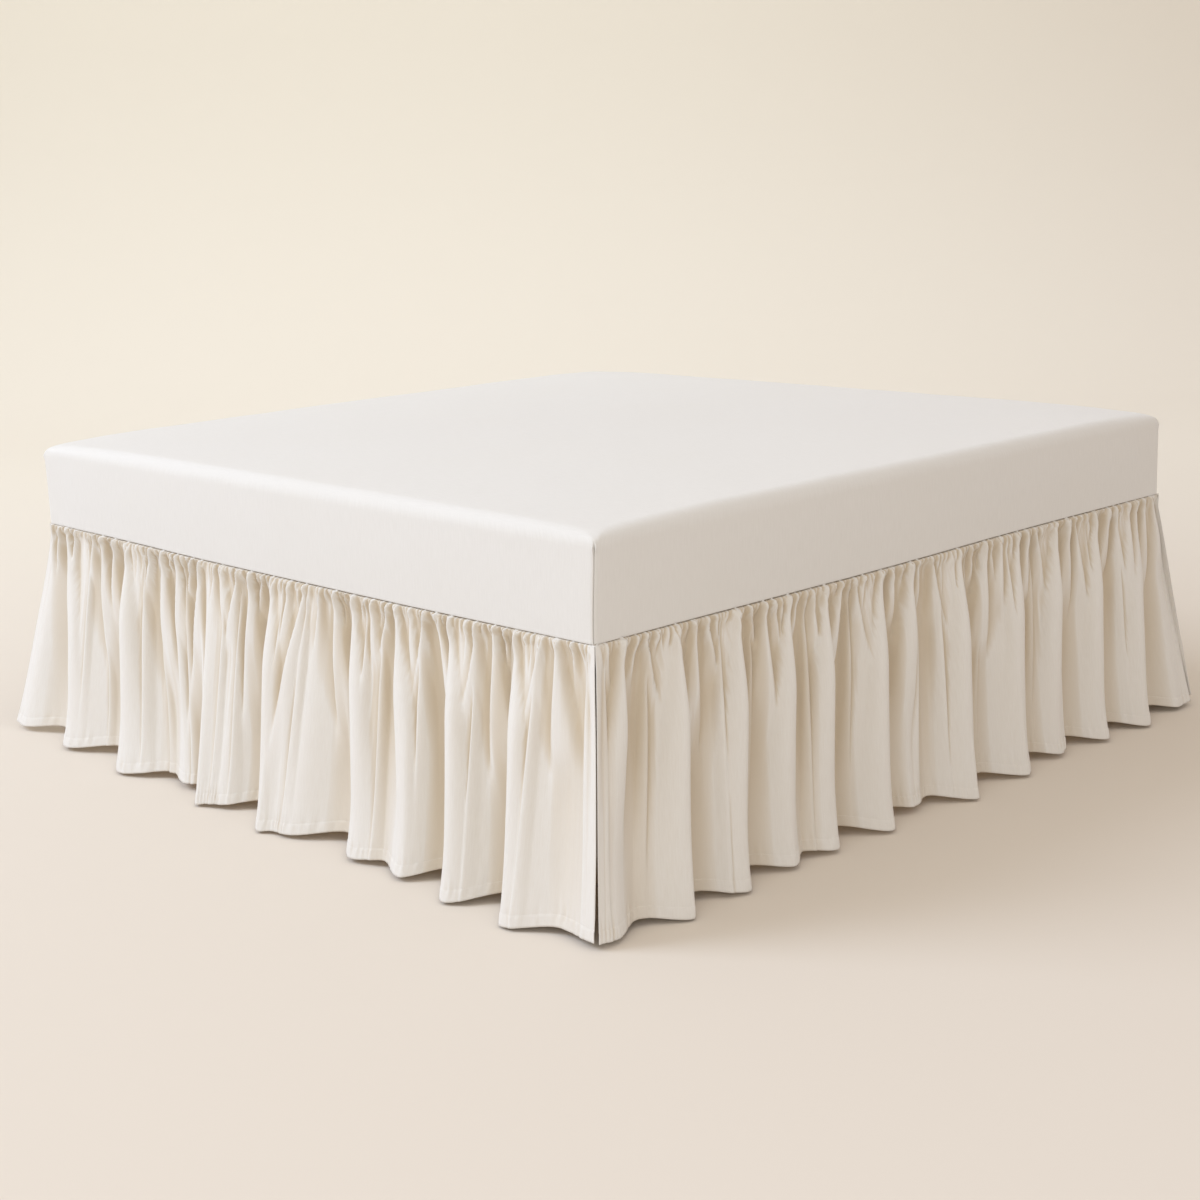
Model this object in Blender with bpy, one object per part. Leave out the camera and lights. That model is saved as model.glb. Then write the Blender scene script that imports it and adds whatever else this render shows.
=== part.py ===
"""A gathered bed skirt on its plain bed: a fitted top cover over a mattress, with three gathered
panels sewn to the cover's lower edge, left open at the head and split at the two foot corners.

Metres, +Z up. The foot of the bed faces -Y and its head +Y, and the right panel is the one on the
right as seen from the foot, at +X. The panels flare unevenly, so the bed is laid out about its own
middle and everything is then shifted to stand the whole with its middle over the origin.
"""

import math

import bmesh
import bpy
from mathutils import Vector

# Driving sizes: a 193 x 203 cm bed, with a skirt of 53 cm drop.
BED_WIDTH = 1.930
BED_LENGTH = 2.030
SEAM_HEIGHT = 0.540  # where the cover ends and the gathered panels begin
COVER_TOP = 0.742
COVER_THICKNESS = 0.002
PANEL_THICKNESS = 0.0025
SEWN_GAP = 0.0003  # between pieces that are laid together
SEAM_GAP = 0.0007  # between the cover and the panels, whose gathers tilt a little at the seam
CLOTH_CLEARANCE = 0.002  # between the cover's sides and the mattress

# The cover's rounded top edge and its four darted corners.
TOP_EDGE_RADIUS = 0.034
CORNER_RADIUS = 0.012
CORNER_OPENING = 0.8
EDGE_STEPS = 5
CORNER_STEPS = 3

# The bed under the cloth.
BASE_INSET = 0.018
BASE_HEIGHT = 0.210
LEG_RADIUS = 0.030
LEG_INSET = 0.130
LEG_SIDES = 16

# The hem floats just off the floor, and lifts a little where the cloth turns inwards.
HEM_LOW = 0.005
HEM_LIFT = 0.008

# How the panels hang. Drop is 0 at the seam and 1 at the hem.
FLARE_POWER = 0.78  # the cloth swings out fast below the gathers, then hangs straighter
FOLD_POWER = 0.62  # how soon a fold reaches its full depth
LEAN_POWER = 0.90  # how soon a fold reaches its place at the hem
GATHER_PITCH = 0.0185  # half of one small gather at the seam
GATHER_DEPTH = 0.0042
GATHER_START = 0.45  # share of the depth that is already there in the seam
GATHER_FULL = 0.05  # drop where the gathers stand out most
GATHER_GONE = 0.42  # drop where they have run out into the large folds
GATHER_UNEVEN = 0.35
ROW_DROPS = (0.0, 0.022, 0.06, 0.115, 0.19, 0.285, 0.40, 0.54, 0.69, 0.85, 1.0)

# The large folds of each panel, a row for each ridge or valley, from one end to the other.
# seam: place along the seam. hem: place along the hem. reach: how far the hem stands out
# from the seam there.
LEFT_FOLDS = (
    # seam, hem, reach
    (0.000, -0.094, 0.115),
    (0.075, 0.000, 0.112),
    (0.170, 0.112, 0.160),
    (0.270, 0.188, 0.076),
    (0.375, 0.285, 0.157),
    (0.455, 0.382, 0.074),
    (0.535, 0.448, 0.138),
    (0.600, 0.532, 0.114),
    (0.690, 0.612, 0.138),
    (0.790, 0.708, 0.074),
    (0.875, 0.838, 0.142),
    (0.932, 0.872, 0.146),
    (0.990, 0.915, 0.160),
    (1.090, 1.020, 0.072),
    (1.190, 1.120, 0.134),
    (1.240, 1.140, 0.140),
    (1.290, 1.168, 0.156),
    (1.365, 1.236, 0.084),
    (1.450, 1.296, 0.108),
    (1.530, 1.378, 0.088),
    (1.620, 1.512, 0.151),
    (1.740, 1.655, 0.070),
    (1.860, 1.800, 0.137),
    (1.945, 1.925, 0.074),
    (2.000, 2.055, 0.122),
    (2.030, 2.105, 0.114),
)
FOOT_FOLDS = (
    # seam, hem, reach
    (0.005, -0.108, 0.102),
    (0.060, -0.066, 0.107),
    (0.135, 0.012, 0.080),
    (0.208, 0.104, 0.130),
    (0.290, 0.168, 0.066),
    (0.375, 0.274, 0.122),
    (0.440, 0.340, 0.058),
    (0.515, 0.426, 0.106),
    (0.578, 0.487, 0.078),
    (0.640, 0.552, 0.108),
    (0.715, 0.622, 0.045),
    (0.795, 0.722, 0.119),
    (0.865, 0.800, 0.054),
    (0.925, 0.850, 0.080),
    (0.990, 0.908, 0.062),
    (1.080, 1.002, 0.125),
    (1.175, 1.100, 0.052),
    (1.285, 1.208, 0.118),
    (1.370, 1.306, 0.054),
    (1.445, 1.378, 0.100),
    (1.525, 1.456, 0.048),
    (1.605, 1.550, 0.110),
    (1.685, 1.630, 0.058),
    (1.770, 1.712, 0.121),
    (1.850, 1.818, 0.058),
    (1.885, 1.890, 0.104),
    (1.925, 1.950, 0.098),
)
# The right panel hangs straighter at its foot end and wider towards the head.
RIGHT_FOLDS = (
    # seam, hem, reach
    (0.000, -0.092, 0.036),
    (0.060, -0.022, 0.046),
    (0.150, 0.096, 0.104),
    (0.245, 0.214, 0.040),
    (0.345, 0.318, 0.118),
    (0.440, 0.404, 0.062),
    (0.520, 0.498, 0.116),
    (0.590, 0.566, 0.090),
    (0.680, 0.654, 0.140),
    (0.785, 0.760, 0.070),
    (0.890, 0.884, 0.148),
    (0.985, 0.972, 0.076),
    (1.075, 1.072, 0.138),
    (1.150, 1.146, 0.104),
    (1.235, 1.242, 0.156),
    (1.340, 1.348, 0.072),
    (1.430, 1.446, 0.136),
    (1.510, 1.524, 0.096),
    (1.600, 1.618, 0.152),
    (1.700, 1.716, 0.074),
    (1.790, 1.822, 0.142),
    (1.880, 1.910, 0.084),
    (1.970, 2.030, 0.132),
    (2.030, 2.100, 0.118),
)

# The cloths and the bed's own finishes: colour, roughness, metallic.
FINISHES = {
    "cover_cloth": ((0.87, 0.85, 0.82, 1.0), 0.86, 0.0),
    "skirt_cloth": ((0.84, 0.80, 0.74, 1.0), 0.86, 0.0),
    "mattress_ticking": ((0.82, 0.81, 0.79, 1.0), 0.80, 0.0),
    "base_fabric": ((0.62, 0.59, 0.55, 1.0), 0.85, 0.0),
    "leg_wood": ((0.55, 0.39, 0.25, 1.0), 0.50, 0.0),
}


def clear_scene():
    for old in list(bpy.data.objects):
        bpy.data.objects.remove(old)


def material(name):
    colour, roughness, metallic = FINISHES[name]
    made = bpy.data.materials.get(name) or bpy.data.materials.new(name)
    made.use_nodes = True
    shader = made.node_tree.nodes["Principled BSDF"]
    shader.inputs["Base Color"].default_value = colour
    shader.inputs["Roughness"].default_value = roughness
    shader.inputs["Metallic"].default_value = metallic
    made.diffuse_color = colour
    return made


def add_object(name, bm, finish, smooth_angle=None):
    """Turns a bmesh into a named object in the scene."""
    mesh = bpy.data.meshes.new(name)
    bm.to_mesh(mesh)
    bm.free()
    if smooth_angle is not None:
        mesh.shade_smooth()
        mesh.set_sharp_from_angle(angle=math.radians(smooth_angle))
    mesh.materials.append(material(finish))
    made = bpy.data.objects.new(name, mesh)
    bpy.context.scene.collection.objects.link(made)
    return made


def uneven(number):
    """A repeatable value from 0 to 1 for a whole number, so that no two gathers are alike."""
    return math.modf(abs(math.sin(number * 12.9898) * 43758.5453))[0]


def hem_below(folds, place):
    """The hem's (place, reach) under a place on the seam."""
    rows = list(zip(folds, folds[1:]))
    before, after = next((pair for pair in rows if place <= pair[1][0]), rows[-1])
    share = (place - before[0]) / (after[0] - before[0])
    # Places are spaced evenly between two rows, and the reach turns smoothly at each row.
    eased = share * share * (3 - 2 * share)
    hem_place = before[1] + (after[1] - before[1]) * share
    reach = before[2] + (after[2] - before[2]) * eased
    return hem_place, reach


def gather_fade(drop):
    """How much of the gathers' depth is left at a drop."""
    if drop < GATHER_FULL:
        return GATHER_START + (1 - GATHER_START) * drop / GATHER_FULL
    if drop > GATHER_GONE:
        return 0.0
    share = (drop - GATHER_FULL) / (GATHER_GONE - GATHER_FULL)
    return (1 - share) ** 1.5


def panel_point(folds, place, gather, drop):
    """(place along the side, distance out from the seam, height) of the cloth at one drop."""
    reaches = [row[2] for row in folds]
    mean_reach = sum(reaches) / len(reaches)
    hem_place, reach = hem_below(folds, place)
    along = place + (hem_place - place) * drop**LEAN_POWER
    out = mean_reach * drop**FLARE_POWER + (reach - mean_reach) * drop**FOLD_POWER
    out += gather * gather_fade(drop)
    inwards = (max(reaches) - reach) / (max(reaches) - min(reaches))
    top = SEAM_HEIGHT - SEAM_GAP
    hem = HEM_LOW + HEM_LIFT * inwards
    return along, out, top + (hem - top) * drop


def panel_columns(folds, number):
    """(place on the seam, gather) of each line of points down a panel, from end to end."""
    first = folds[0][0]
    width = folds[-1][0] - first
    count = round(width / GATHER_PITCH)
    columns = [(first, 0.0)]
    for column in range(1, count):
        shift = (uneven(column + number) - 0.5) * GATHER_UNEVEN
        swell = 1 + (uneven(3 * column + number) - 0.5) * 2 * GATHER_UNEVEN
        place = first + width * (column + shift) / count
        columns.append((place, GATHER_DEPTH * swell * (-1) ** column))
    columns.append((first + width, 0.0))
    return columns


def gathered_panel(name, folds, corner, along_side, outwards, number):
    """One gathered panel, a sheet that hangs along one side of the bed from its foot corner."""
    bm = bmesh.new()
    grid = []
    for place, gather in panel_columns(folds, number):
        line = []
        for drop in ROW_DROPS:
            along, out, height = panel_point(folds, place, gather, drop)
            point = Vector(corner) + Vector(along_side) * along + Vector(outwards) * out
            line.append(bm.verts.new((point.x, point.y, height)))
        grid.append(line)
    for left, right in zip(grid, grid[1:]):
        for row in range(len(ROW_DROPS) - 1):
            bm.faces.new((left[row], left[row + 1], right[row + 1], right[row]))
    bm.normal_update()
    if sum(face.normal.dot(Vector(outwards)) for face in bm.faces) < 0:
        bmesh.ops.reverse_faces(bm, faces=bm.faces)
    panel = add_object(name, bm, "skirt_cloth", smooth_angle=180)
    # The sheet's thickness goes inwards, and its rim closes the hem, the sides and the seam edge.
    thickness = panel.modifiers.new("thickness", "SOLIDIFY")
    thickness.thickness = PANEL_THICKNESS
    thickness.offset = -1.0
    thickness.use_even_offset = True
    thickness.use_rim = True
    return panel


def rounded_outline(half_width, half_length, radius):
    """A rectangle with rounded corners, anticlockwise, as (x, y) pairs."""
    points = []
    for quarter, (side_x, side_y) in enumerate(((1, 1), (-1, 1), (-1, -1), (1, -1))):
        for step in range(CORNER_STEPS + 1):
            angle = math.radians(90 * (quarter + step / CORNER_STEPS))
            x = side_x * (half_width - radius) + radius * math.cos(angle)
            y = side_y * (half_length - radius) + radius * math.sin(angle)
            points.append((x, y))
    return points


def domed_rings(inset, top):
    """Rings of points that run up the bed's sides, inset from them, and round over its top edge."""
    edge_radius = TOP_EDGE_RADIUS - inset
    levels = [(inset, SEAM_HEIGHT)]
    for step in range(EDGE_STEPS + 1):
        angle = math.radians(90 * step / EDGE_STEPS)
        height = top - edge_radius * (1 - math.sin(angle))
        levels.append((inset + edge_radius * (1 - math.cos(angle)), height))
    rings = []
    for level_inset, height in levels:
        # The corners open out as the top edge rounds over, as a stuffed corner does.
        radius = CORNER_RADIUS + level_inset * CORNER_OPENING
        outline = rounded_outline(
            BED_WIDTH / 2 - level_inset, BED_LENGTH / 2 - level_inset, radius
        )
        rings.append([Vector((x, y, height)) for x, y in outline])
    return rings


def add_rings(bm, rings):
    """Adds the walls between the rings and returns the rings' vertices."""
    lines = [[bm.verts.new(point) for point in ring] for ring in rings]
    count = len(lines[0])
    for lower, upper in zip(lines, lines[1:]):
        for number in range(count):
            after = (number + 1) % count
            bm.faces.new((lower[number], lower[after], upper[after], upper[number]))
    return lines


def fitted_cover():
    """The smooth top cover: a deck with four sides that end at the seam, open underneath."""
    bm = bmesh.new()
    outer = add_rings(bm, domed_rings(0.0, COVER_TOP))
    inner = add_rings(bm, domed_rings(COVER_THICKNESS, COVER_TOP - COVER_THICKNESS))
    bm.faces.new(outer[-1])
    bm.faces.new(inner[-1])
    count = len(outer[0])
    for number in range(count):
        after = (number + 1) % count
        bm.faces.new((outer[0][number], outer[0][after], inner[0][after], inner[0][number]))
    bmesh.ops.recalc_face_normals(bm, faces=bm.faces)
    return add_object("cover", bm, "cover_cloth", smooth_angle=35)


def mattress():
    """The filled block that the cover is fitted over."""
    bm = bmesh.new()
    top = COVER_TOP - COVER_THICKNESS - SEWN_GAP
    rings = add_rings(bm, domed_rings(COVER_THICKNESS + CLOTH_CLEARANCE, top))
    bm.faces.new(rings[0])
    bm.faces.new(rings[-1])
    bmesh.ops.recalc_face_normals(bm, faces=bm.faces)
    return add_object("mattress", bm, "mattress_ticking", smooth_angle=35)


def box(name, low, high, finish):
    bm = bmesh.new()
    bmesh.ops.create_cube(bm, size=1.0)
    size = Vector(high) - Vector(low)
    for vert in bm.verts:
        vert.co = Vector(low) + Vector(
            ((vert.co.x + 0.5) * size.x, (vert.co.y + 0.5) * size.y, (vert.co.z + 0.5) * size.z)
        )
    return add_object(name, bm, finish)


def bed_base():
    """The plain box base that carries the mattress."""
    half_width = BED_WIDTH / 2 - BASE_INSET
    half_length = BED_LENGTH / 2 - BASE_INSET
    top = SEAM_HEIGHT - SEWN_GAP
    return box(
        "bed_base",
        (-half_width, -half_length, top - BASE_HEIGHT),
        (half_width, half_length, top),
        "base_fabric",
    )


def leg(name, x, y):
    """A plain round leg, standing flat on the floor."""
    height = SEAM_HEIGHT - SEWN_GAP - BASE_HEIGHT - SEWN_GAP
    bm = bmesh.new()
    bmesh.ops.create_cone(
        bm,
        cap_ends=True,
        segments=LEG_SIDES,
        radius1=LEG_RADIUS,
        radius2=LEG_RADIUS,
        depth=height,
    )
    made = add_object(name, bm, "leg_wood", smooth_angle=35)
    made.location = (x, y, height / 2)
    return made


def legs():
    """A leg under each corner of the base and one under its middle."""
    corner_x = BED_WIDTH / 2 - LEG_INSET
    corner_y = BED_LENGTH / 2 - LEG_INSET
    leg("leg_centre", 0.0, 0.0)
    for end, y in (("foot", -corner_y), ("head", corner_y)):
        for side, x in (("left", -corner_x), ("right", corner_x)):
            leg(f"leg_{end}_{side}", x, y)


def skirt():
    """The three gathered panels. The last number makes each panel's gathers its own."""
    left_corner = (-BED_WIDTH / 2, -BED_LENGTH / 2, 0)
    right_corner = (BED_WIDTH / 2, -BED_LENGTH / 2, 0)
    gathered_panel("skirt_left", LEFT_FOLDS, left_corner, (0, 1, 0), (-1, 0, 0), 11)
    gathered_panel("skirt_foot", FOOT_FOLDS, left_corner, (1, 0, 0), (0, -1, 0), 29)
    gathered_panel("skirt_right", RIGHT_FOLDS, right_corner, (0, 1, 0), (1, 0, 0), 47)


def centre_over_origin():
    """Shifts every piece so that the middle of the whole, flare included, is over the origin."""
    bpy.context.view_layer.update()
    graph = bpy.context.evaluated_depsgraph_get()
    pieces = list(bpy.context.scene.objects)
    points = []
    for piece in pieces:
        shape = piece.evaluated_get(graph)
        points += [shape.matrix_world @ vert.co for vert in shape.data.vertices]
    middle_x = (min(point.x for point in points) + max(point.x for point in points)) / 2
    middle_y = (min(point.y for point in points) + max(point.y for point in points)) / 2
    for piece in pieces:
        piece.location.x -= middle_x
        piece.location.y -= middle_y


clear_scene()
fitted_cover()
mattress()
bed_base()
legs()
skirt()
centre_over_origin()
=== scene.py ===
# A gathered bed skirt, dressed on its bed: fitted cover, three hanging panels, box base and legs.
# Metres, with the foot of the bed towards -Y. The bed's own middle is a little off the origin.

import math
import random

import bmesh
import bpy
import numpy as np
from mathutils import Matrix, Vector, noise


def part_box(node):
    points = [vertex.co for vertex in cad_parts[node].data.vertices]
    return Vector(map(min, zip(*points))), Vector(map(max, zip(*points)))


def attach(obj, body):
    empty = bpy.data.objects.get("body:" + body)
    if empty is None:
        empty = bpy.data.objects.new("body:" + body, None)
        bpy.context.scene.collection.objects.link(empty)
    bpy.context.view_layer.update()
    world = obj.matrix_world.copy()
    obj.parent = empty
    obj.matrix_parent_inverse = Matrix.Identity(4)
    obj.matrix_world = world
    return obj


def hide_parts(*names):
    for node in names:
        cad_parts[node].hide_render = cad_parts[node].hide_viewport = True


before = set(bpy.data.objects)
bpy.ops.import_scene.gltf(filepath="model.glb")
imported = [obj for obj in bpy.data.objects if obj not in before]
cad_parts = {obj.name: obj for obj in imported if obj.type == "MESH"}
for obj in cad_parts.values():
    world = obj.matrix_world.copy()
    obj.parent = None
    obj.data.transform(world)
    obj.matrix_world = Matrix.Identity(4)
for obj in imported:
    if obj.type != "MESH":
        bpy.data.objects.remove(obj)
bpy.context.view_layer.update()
coverLow, coverHigh = (Vector(corner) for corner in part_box("cover"))
bedCentre = ((coverLow + coverHigh) / 2).to_2d().to_3d()  # on the floor
bedWidth = coverHigh.x - coverLow.x
bedLength = coverHigh.y - coverLow.y
seamHeight = coverLow.z
print("frame loaded, bed", round(bedWidth, 3), "by", round(bedLength, 3))


# helpers that several pieces share

def smooth(share):
    share = np.clip(share, 0, 1)
    return share * share * (3 - 2 * share)


def addPiece(name, mesh, material):
    mesh.materials.append(material)
    piece = bpy.data.objects.new(name, mesh)
    bpy.context.scene.collection.objects.link(piece)
    return piece


def keepModifiers(piece):
    # turns the piece's live modifiers into plain mesh
    graph = bpy.context.evaluated_depsgraph_get()
    finished = bpy.data.meshes.new_from_object(piece.evaluated_get(graph))
    piece.modifiers.clear()
    unfinished = piece.data
    piece.data = finished
    bpy.data.meshes.remove(unfinished)


def thicken(piece, thickness):
    # gives a sheet its thickness, on its inner side
    modifier = piece.modifiers.new("thickness", "SOLIDIFY")
    modifier.thickness = thickness
    modifier.offset = -1.0
    modifier.use_even_offset = False
    keepModifiers(piece)


def gridMesh(name, points, flat, closed=False):
    # points and flat are rows x columns; flat is where each point lay on the cut cloth, in metres
    rows, columns = points.shape[:2]
    number = np.arange(rows * columns).reshape(rows, columns)
    if closed:
        number = np.concatenate([number, number[:, :1]], axis=1)
        flat = np.concatenate([flat, flat[:, :1] + (flat[:, -1:] - flat[:, -2:-1])], axis=1)
    corners = (number[:-1, :-1], number[1:, :-1], number[1:, 1:], number[:-1, 1:])
    faces = np.stack(corners, axis=-1).reshape(-1, 4)
    mesh = bpy.data.meshes.new(name)
    mesh.from_pydata(points.reshape(-1, 3).tolist(), [], faces.tolist())
    places = (flat[:-1, :-1], flat[1:, :-1], flat[1:, 1:], flat[:-1, 1:])
    uv = np.stack(places, axis=2).reshape(-1, 2)
    mesh.uv_layers.new(name="flatCloth").data.foreach_set("uv", uv.ravel().astype(np.float32))
    mesh.shade_smooth()
    return mesh


# the cloths, the thread and the wood

clothFinish = {
    "warpRun": 0.07,  # the slubs' scale along the warp, next to across it
    "slubScale": 420.0,
    "slubDetail": 4.0,
    "threadHeight": 0.25,
    "cloudDetail": 5.0,
    "cloudRoughness": 0.6,
    "streaks": (0.35, 0.7),  # the range of the noise that streaks and clouds are drawn from
    "clouds": (0.3, 0.7),
    "cloudShare": 0.5,
    "sheenRoughness": 0.5,
    "specular": 0.25,
    "bump": 0.6,
}


def fillInputs(tree, node, inputs):
    # each input takes a plain value or another node's output
    for name, value in inputs.items():
        if isinstance(value, bpy.types.NodeSocket):
            tree.links.new(value, node.inputs[name])
        else:
            node.inputs[name].default_value = value


def addNode(tree, kind, inputs):
    node = tree.nodes.new(kind)
    fillInputs(tree, node, inputs)
    return node


def mathNode(tree, operation, *values):
    node = tree.nodes.new("ShaderNodeMath")
    node.operation = operation
    fillInputs(tree, node, dict(enumerate(values)))
    return node.outputs[0]


def mixColours(tree, share, first, second):
    node = tree.nodes.new("ShaderNodeMix")
    node.data_type = "RGBA"
    for socket, value in ((6, first), (7, second)):
        isOutput = isinstance(value, bpy.types.NodeSocket)
        fillInputs(tree, node, {socket: value if isOutput else (*value, 1.0)})
    fillInputs(tree, node, {"Factor": share})
    return node.outputs[2]


def rampNode(tree, value, low, high):
    inputs = {"Value": value, "From Min": low, "From Max": high}
    return addNode(tree, "ShaderNodeMapRange", inputs).outputs["Result"]


def newMaterial(name, inputs):
    material = bpy.data.materials.new(name)
    material.use_nodes = True
    shader = material.node_tree.nodes["Principled BSDF"]
    fillInputs(material.node_tree, shader, inputs)
    return material, material.node_tree, shader


def weaveNodes(tree, cloth, look):
    # over and under threads, with slubs that run with the warp: their height and their streaks
    split = addNode(tree, "ShaderNodeSeparateXYZ", {0: cloth}).outputs
    turns = look["threads"] * math.pi
    warp = mathNode(tree, "SINE", mathNode(tree, "MULTIPLY", split["X"], turns))
    weft = mathNode(tree, "SINE", mathNode(tree, "MULTIPLY", split["Y"], turns))
    crossing = mathNode(tree, "MULTIPLY", warp, weft)
    stretch = {"Scale": (1.0, clothFinish["warpRun"], 1.0), "Vector": cloth}
    slubs = addNode(tree, "ShaderNodeTexNoise", {
        "Scale": clothFinish["slubScale"],
        "Detail": clothFinish["slubDetail"],
        "Vector": addNode(tree, "ShaderNodeMapping", stretch).outputs["Vector"],
    }).outputs["Fac"]
    slubHeight = mathNode(tree, "MULTIPLY", slubs, look["slub"])
    return mathNode(tree, "MULTIPLY_ADD", crossing, clothFinish["threadHeight"], slubHeight), slubs


def clothMaterial(name, look):
    material, tree, shader = newMaterial(name, {
        "Roughness": look["roughness"],
        "Sheen Weight": look["sheen"],
        "Sheen Roughness": clothFinish["sheenRoughness"],
        "Specular IOR Level": clothFinish["specular"],
    })
    flat = tree.nodes.new("ShaderNodeUVMap")
    flat.uv_map = "flatCloth"
    height, slubs = weaveNodes(tree, flat.outputs["UV"], look)
    mottle = addNode(tree, "ShaderNodeTexNoise", {  # faint clouding over a hand's breadth
        "Scale": look["mottleScale"],
        "Detail": clothFinish["cloudDetail"],
        "Roughness": clothFinish["cloudRoughness"],
        "Vector": tree.nodes.new("ShaderNodeTexCoord").outputs["Object"],
    })

    streaks = rampNode(tree, slubs, *clothFinish["streaks"])
    clouds = rampNode(tree, mottle.outputs["Fac"], *clothFinish["clouds"])
    threads = mixColours(tree, streaks, look["colour"], look["threadColour"])
    clouded = mixColours(tree, clouds, threads, look["cloudColour"])
    cloudShare = mathNode(tree, "MULTIPLY", clouds, clothFinish["cloudShare"])
    colour = mixColours(tree, cloudShare, threads, clouded)
    if "paintedShadeColour" in look:  # painted shade: the cloth is coloured darker and warmer where it is folded in, in place of the shade and warm bounce light between folds
        folded = tree.nodes.new("ShaderNodeAttribute")
        folded.attribute_name = "paintedFoldShade"
        depth = rampNode(tree, folded.outputs["Fac"], *look["paintedShadeRange"])
        colour = mixColours(tree, depth, colour, look["paintedShadeColour"])
    bump = {"Distance": look["depth"], "Strength": clothFinish["bump"], "Height": height}
    normal = addNode(tree, "ShaderNodeBump", bump).outputs["Normal"]
    fillInputs(tree, shader, {"Base Color": colour, "Normal": normal})
    return material


coverCloth = clothMaterial("coverCloth", {
    "colour": (0.735, 0.718, 0.686),
    "threadColour": (0.71, 0.692, 0.658),
    "cloudColour": (0.72, 0.7, 0.66),
    "roughness": 0.85,
    "sheen": 0.12,
    "threads": 2600.0,
    "slub": 0.35,
    "mottleScale": 3.5,
    "depth": 0.00025,
})
skirtCloth = clothMaterial("skirtCloth", {
    "colour": (0.75, 0.727, 0.684),
    "threadColour": (0.72, 0.69, 0.64),
    "cloudColour": (0.735, 0.7, 0.65),
    # painted shade: the darker, warmer colour laid into the folds, and the stretch of the fold mask over
    # which it comes in
    "paintedShadeColour": (0.6, 0.515, 0.395),
    "paintedShadeRange": (0.05, 0.52),
    "roughness": 0.8,
    "sheen": 0.2,
    "threads": 2400.0,
    "slub": 0.5,
    "mottleScale": 5.0,
    "depth": 0.0003,
})
twistedThread = {"sheen": 0.1, "threads": 5000.0, "slub": 0.4, "mottleScale": 30.0, "depth": 0.0001}
threadCloth = clothMaterial("sewingThread", {
    "colour": (0.82, 0.78, 0.72),
    "threadColour": (0.76, 0.72, 0.66),
    "cloudColour": (0.8, 0.76, 0.7),
    "roughness": 0.6,
    **twistedThread,
})
# painted shade: the gathering thread is dark brown so that it stands in for the shadow line under the
# cover's edge
seamShadeThread = clothMaterial("seamShadeThread", {
    "colour": (0.42, 0.33, 0.24),
    "threadColour": (0.34, 0.26, 0.18),
    "cloudColour": (0.38, 0.3, 0.21),
    "roughness": 0.7,
    **twistedThread,
})
tickingCloth = clothMaterial("tickingCloth", {
    "colour": (0.8, 0.79, 0.77),
    "threadColour": (0.74, 0.73, 0.71),
    "cloudColour": (0.77, 0.76, 0.74),
    "roughness": 0.85,
    "sheen": 0.1,
    "threads": 1800.0,
    "slub": 0.5,
    "mottleScale": 5.0,
    "depth": 0.0003,
})
baseCloth = clothMaterial("baseCloth", {
    "colour": (0.6, 0.47, 0.35),
    "threadColour": (0.52, 0.4, 0.29),
    "cloudColour": (0.56, 0.44, 0.32),
    "roughness": 0.9,
    "sheen": 0.15,
    "threads": 900.0,
    "slub": 0.6,
    "mottleScale": 6.0,
    "depth": 0.0006,
})


wood = {
    "roughness": 0.42,
    "light": (0.5, 0.34, 0.2),
    "dark": (0.34, 0.215, 0.12),
    "grain": {"Scale": 160.0, "Detail": 6.0, "Distortion": 0.6},
    "grainRun": 0.06,
    "grainRange": (0.35, 0.7),
    "depth": 0.0002,
}


def legWoodMaterial():
    # oiled beech, with its grain along the leg
    material, tree, shader = newMaterial("legWood", {"Roughness": wood["roughness"]})
    place = tree.nodes.new("ShaderNodeTexCoord").outputs["Object"]
    stretch = {"Scale": (1.0, 1.0, wood["grainRun"]), "Vector": place}
    stretched = addNode(tree, "ShaderNodeMapping", stretch).outputs["Vector"]
    grain = addNode(tree, "ShaderNodeTexNoise", {**wood["grain"], "Vector": stretched}).outputs["Fac"]
    lines = rampNode(tree, grain, *wood["grainRange"])
    bump = addNode(tree, "ShaderNodeBump", {"Distance": wood["depth"], "Height": grain})
    fillInputs(tree, shader, {
        "Base Color": mixColours(tree, lines, wood["light"], wood["dark"]),
        "Normal": bump.outputs["Normal"],
    })
    return material


legWood = legWoodMaterial()
print("materials made")


# the three gathered panels
skirt = {
    "gap": 0.0007,  # under the line of the seam
    "tuck": 0.0085,  # how far in behind the cover's edge the cloth starts
    "hemLow": 0.005,  # a ridge's hem above the floor
    "hemLift": 0.019,  # how much higher a valley's hem hangs
    "ridgePower": 1.0,  # ridges run straight out and valleys hang down first
    "valleyPower": 2.0,
    "leanPower": 0.8,
    "valleyPinch": 0.48,  # crests are broad and valleys narrow, less so towards the hem
    "valleyOpens": 0.35,  # the drop where the valleys start to widen
    "hollow": 0.015,  # how far the cloth between the folds falls in
    "hollowStart": 0.07,
    "hollowRim": 0.011,
    "hollowFade": 0.6,  # how much of it is gone at the hem
    "wavesAtSeam": 0.15,
    "crinkleReach": 0.09,  # the drop over which the crinkles under the seam die away
    "tuckedThread": -0.0008,  # the gathering thread, measured out from the seam's line
    "tuckDrop": 0.0022,  # how far below the seam the cloth comes out of its tuck
    "tuckBend": 0.0025,
    "columnWidth": 0.00235,
    "thickness": 0.0012,
    "hemBand": 0.022,  # the turned-up hem
    "sideBand": 0.02,  # the turned-in sides
    "bandThickness": 0.0008,
    "bandEdge": 0.003,
    "stitchDip": 0.0006,
    "stitchWidth": 0.0022,
    "puckerPlace": 0.8,  # above the hem, as a share of its band
    "puckerReach": 0.03,
}

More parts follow.
